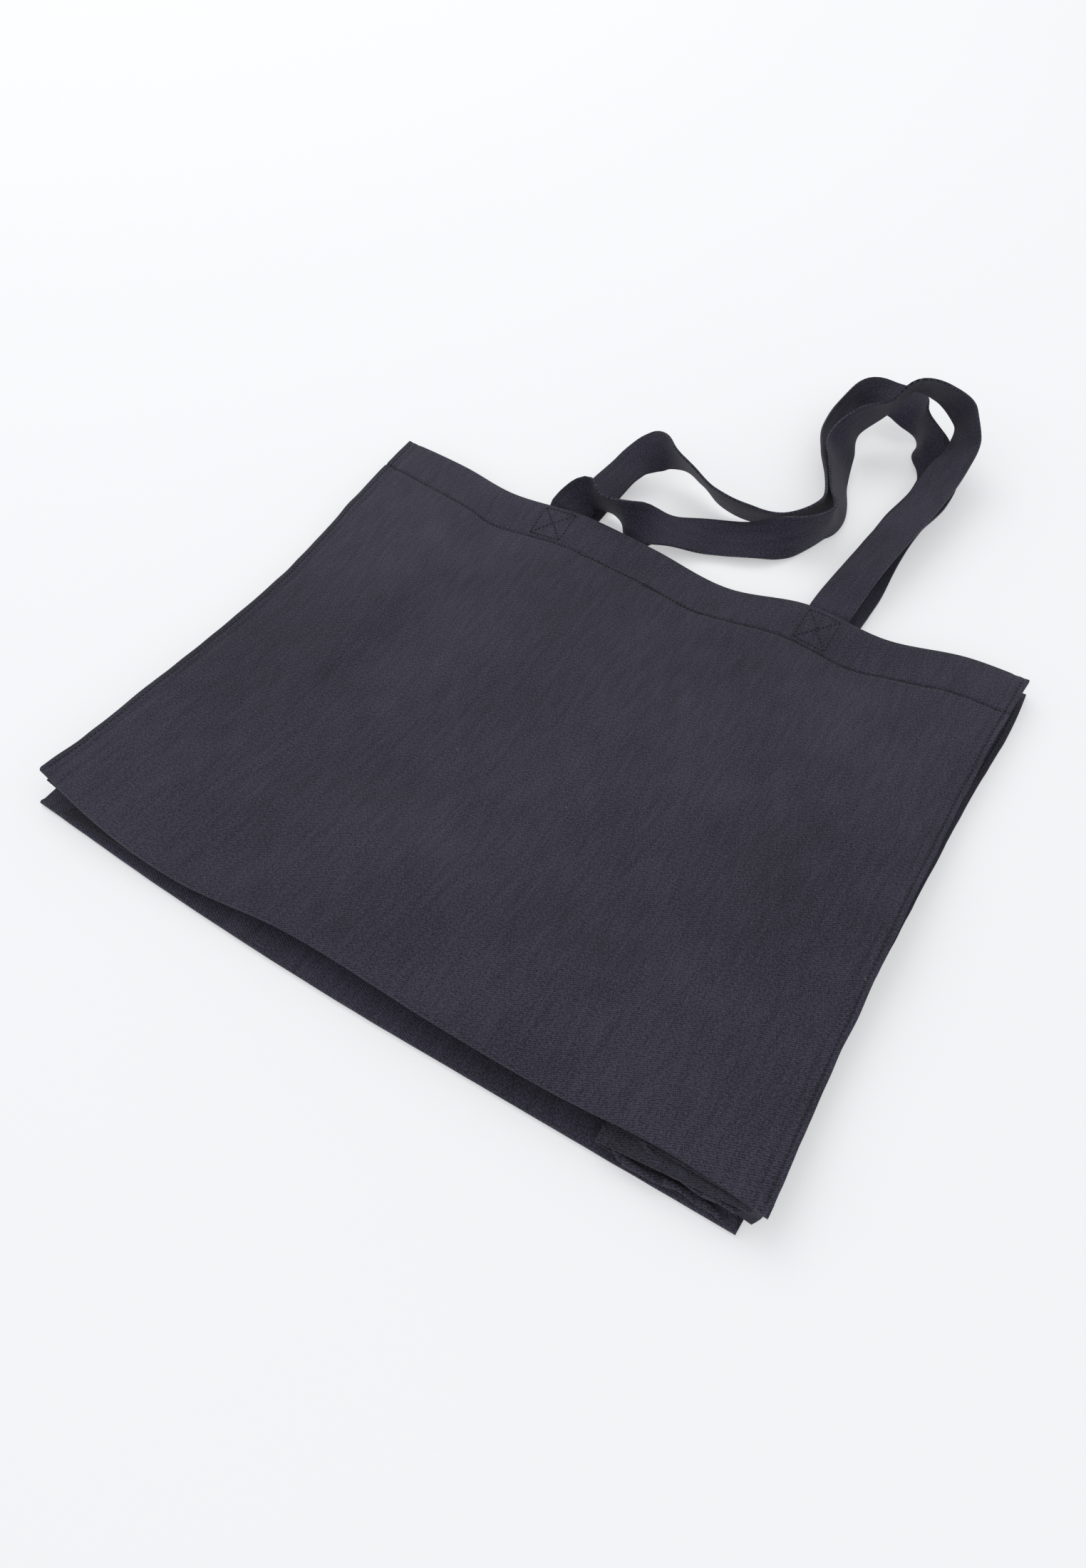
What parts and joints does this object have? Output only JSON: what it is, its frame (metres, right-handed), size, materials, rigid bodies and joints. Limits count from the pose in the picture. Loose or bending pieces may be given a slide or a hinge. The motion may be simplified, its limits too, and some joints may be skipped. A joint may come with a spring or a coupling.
{
  "type": "canvas tote bag",
  "caption": "Soft canvas tote bag with folding side gussets, an open hemmed mouth and strap handles sewn on with crossed stitch boxes, lying folded on its rear panel.",
  "frame": {"origin": "centre of the rear panel's underside, on the surface the bag lies on", "axes": "+X across the bag, +Y up the bag from the bottom fold to the mouth and handles, +Z from the rear panel to the front panel"},
  "size_m": [0.5, 0.6353, 0.0592],
  "materials": {
    "canvas": "matt dark grey twill canvas",
    "canvas_inside": "matt dark grey canvas, hems turned to the inside",
    "strap_canvas": "matt dark grey canvas folded into a strap",
    "thread": "dark sewing thread"
  },
  "bodies": {
    "rear": {"rear_panel": "canvas", "rear_mouth_hem": "canvas_inside", "left_rear_seam_layer": "canvas", "right_rear_seam_layer": "canvas", "rear_handle_left_end": "strap_canvas", "rear_handle_right_end": "strap_canvas", "rear_left_box_thread": "thread", "rear_right_box_thread": "thread", "rear_hem_thread": "thread", "left_rear_seam_thread": "thread", "right_rear_seam_thread": "thread"},
    "front": {"front_panel": "canvas", "front_mouth_hem": "canvas_inside", "left_front_seam_layer": "canvas", "right_front_seam_layer": "canvas", "front_handle_left_end": "strap_canvas", "front_handle_right_end": "strap_canvas", "front_left_box_thread": "thread", "front_right_box_thread": "thread", "front_hem_thread": "thread", "left_front_seam_thread": "thread", "right_front_seam_thread": "thread"},
    "right_gusset_rear": {"right_gusset_rear": "canvas", "right_gusset_rear_hem": "canvas_inside"},
    "right_rear_corner": {"right_rear_bottom_corner": "canvas"},
    "right_gusset_front": {"right_gusset_front": "canvas", "right_gusset_front_hem": "canvas_inside"},
    "right_front_corner": {"right_front_bottom_corner": "canvas"},
    "left_gusset_rear": {"left_gusset_rear": "canvas", "left_gusset_rear_hem": "canvas_inside"},
    "left_rear_corner": {"left_rear_bottom_corner": "canvas"},
    "left_gusset_front": {"left_gusset_front": "canvas", "left_gusset_front_hem": "canvas_inside"},
    "left_front_corner": {"left_front_bottom_corner": "canvas"},
    "bottom_rear": {"bottom_rear": "canvas"},
    "bottom_front": {"bottom_front": "canvas"},
    "front_handle": {"front_handle": "strap_canvas"},
    "rear_handle": {"rear_handle": "strap_canvas"}
  },
  "joints": [
    {"name": "bag_opening", "type": "hinge", "parent": "rear", "child": "right_gusset_rear", "pos_m": [0.242, 0, 0.0019], "axis": [0, 1, 0], "range_deg": [0, 84.5]},
    {"name": "right_gusset_fold", "type": "hinge", "parent": "right_gusset_rear", "child": "right_gusset_front", "pos_m": [0.16237, 0, 0.00957], "axis": [0, 1, 0], "range_deg": [-169, 0]},
    {"name": "right_front_seam", "type": "hinge", "parent": "right_gusset_front", "child": "front", "pos_m": [0.242, 0, 0.01724], "axis": [0, 1, 0], "range_deg": [0, 84.5]},
    {"name": "left_rear_seam", "type": "hinge", "parent": "rear", "child": "left_gusset_rear", "pos_m": [-0.242, 0, 0.0019], "axis": [0, -1, 0], "range_deg": [0, 84.5]},
    {"name": "left_gusset_fold", "type": "hinge", "parent": "left_gusset_rear", "child": "left_gusset_front", "pos_m": [-0.16237, 0, 0.00957], "axis": [0, -1, 0], "range_deg": [-169, 0]},
    {"name": "rear_bottom_fold", "type": "hinge", "parent": "rear", "child": "bottom_rear", "pos_m": [0, -0.194, 0.0008], "axis": [1, 0, 0], "range_deg": [0, 84.5]},
    {"name": "front_bottom_fold", "type": "hinge", "parent": "front", "child": "bottom_front", "pos_m": [0, -0.194, 0.01834], "axis": [-1, 0, 0], "range_deg": [0, 84.5]},
    {"name": "right_rear_corner_seam", "type": "hinge", "parent": "right_gusset_rear", "child": "right_rear_corner", "pos_m": [0.24189, -0.194, 0.00081], "axis": [-0.9954, 0, 0.0958], "range_deg": [0, 90], "deforming": ["right_rear_bottom_corner"]},
    {"name": "right_front_corner_seam", "type": "hinge", "parent": "right_gusset_front", "child": "right_front_corner", "pos_m": [0.24189, -0.194, 0.01833], "axis": [0.9954, 0, 0.0958], "range_deg": [0, 90], "deforming": ["right_front_bottom_corner"]},
    {"name": "left_rear_corner_seam", "type": "hinge", "parent": "left_gusset_rear", "child": "left_rear_corner", "pos_m": [-0.24189, -0.194, 0.00081], "axis": [-0.9954, 0, -0.0958], "range_deg": [0, 90], "deforming": ["left_rear_bottom_corner"]},
    {"name": "left_front_corner_seam", "type": "hinge", "parent": "left_gusset_front", "child": "left_front_corner", "pos_m": [-0.24189, -0.194, 0.01833], "axis": [0.9954, 0, -0.0958], "range_deg": [0, 90], "deforming": ["left_front_bottom_corner"]},
    {"name": "front_handle_swing", "type": "hinge", "parent": "front", "child": "front_handle", "pos_m": [0, 0.1965, 0.01594], "axis": [1, 0, 0], "range_deg": [0, 90]},
    {"name": "rear_handle_swing", "type": "hinge", "parent": "rear", "child": "rear_handle", "pos_m": [0, 0.1965, 0.0032], "axis": [1, 0, 0], "range_deg": [0, 27]}
  ],
  "couplings": [
    {"joint": "right_gusset_fold", "follows": "bag_opening", "ratio": -2},
    {"joint": "right_front_seam", "follows": "bag_opening", "ratio": 1},
    {"joint": "left_rear_seam", "follows": "bag_opening", "ratio": 1},
    {"joint": "left_gusset_fold", "follows": "bag_opening", "ratio": -2},
    {"joint": "rear_bottom_fold", "follows": "bag_opening", "ratio": 1},
    {"joint": "front_bottom_fold", "follows": "bag_opening", "ratio": 1},
    {"joint": "right_rear_corner_seam", "follows": "bag_opening", "ratio": 1.0651},
    {"joint": "right_front_corner_seam", "follows": "bag_opening", "ratio": 1.0651},
    {"joint": "left_rear_corner_seam", "follows": "bag_opening", "ratio": 1.0651},
    {"joint": "left_front_corner_seam", "follows": "bag_opening", "ratio": 1.0651},
    {"joint": "rear_handle_swing", "follows": "front_handle_swing", "ratio": 0.3}
  ]
}
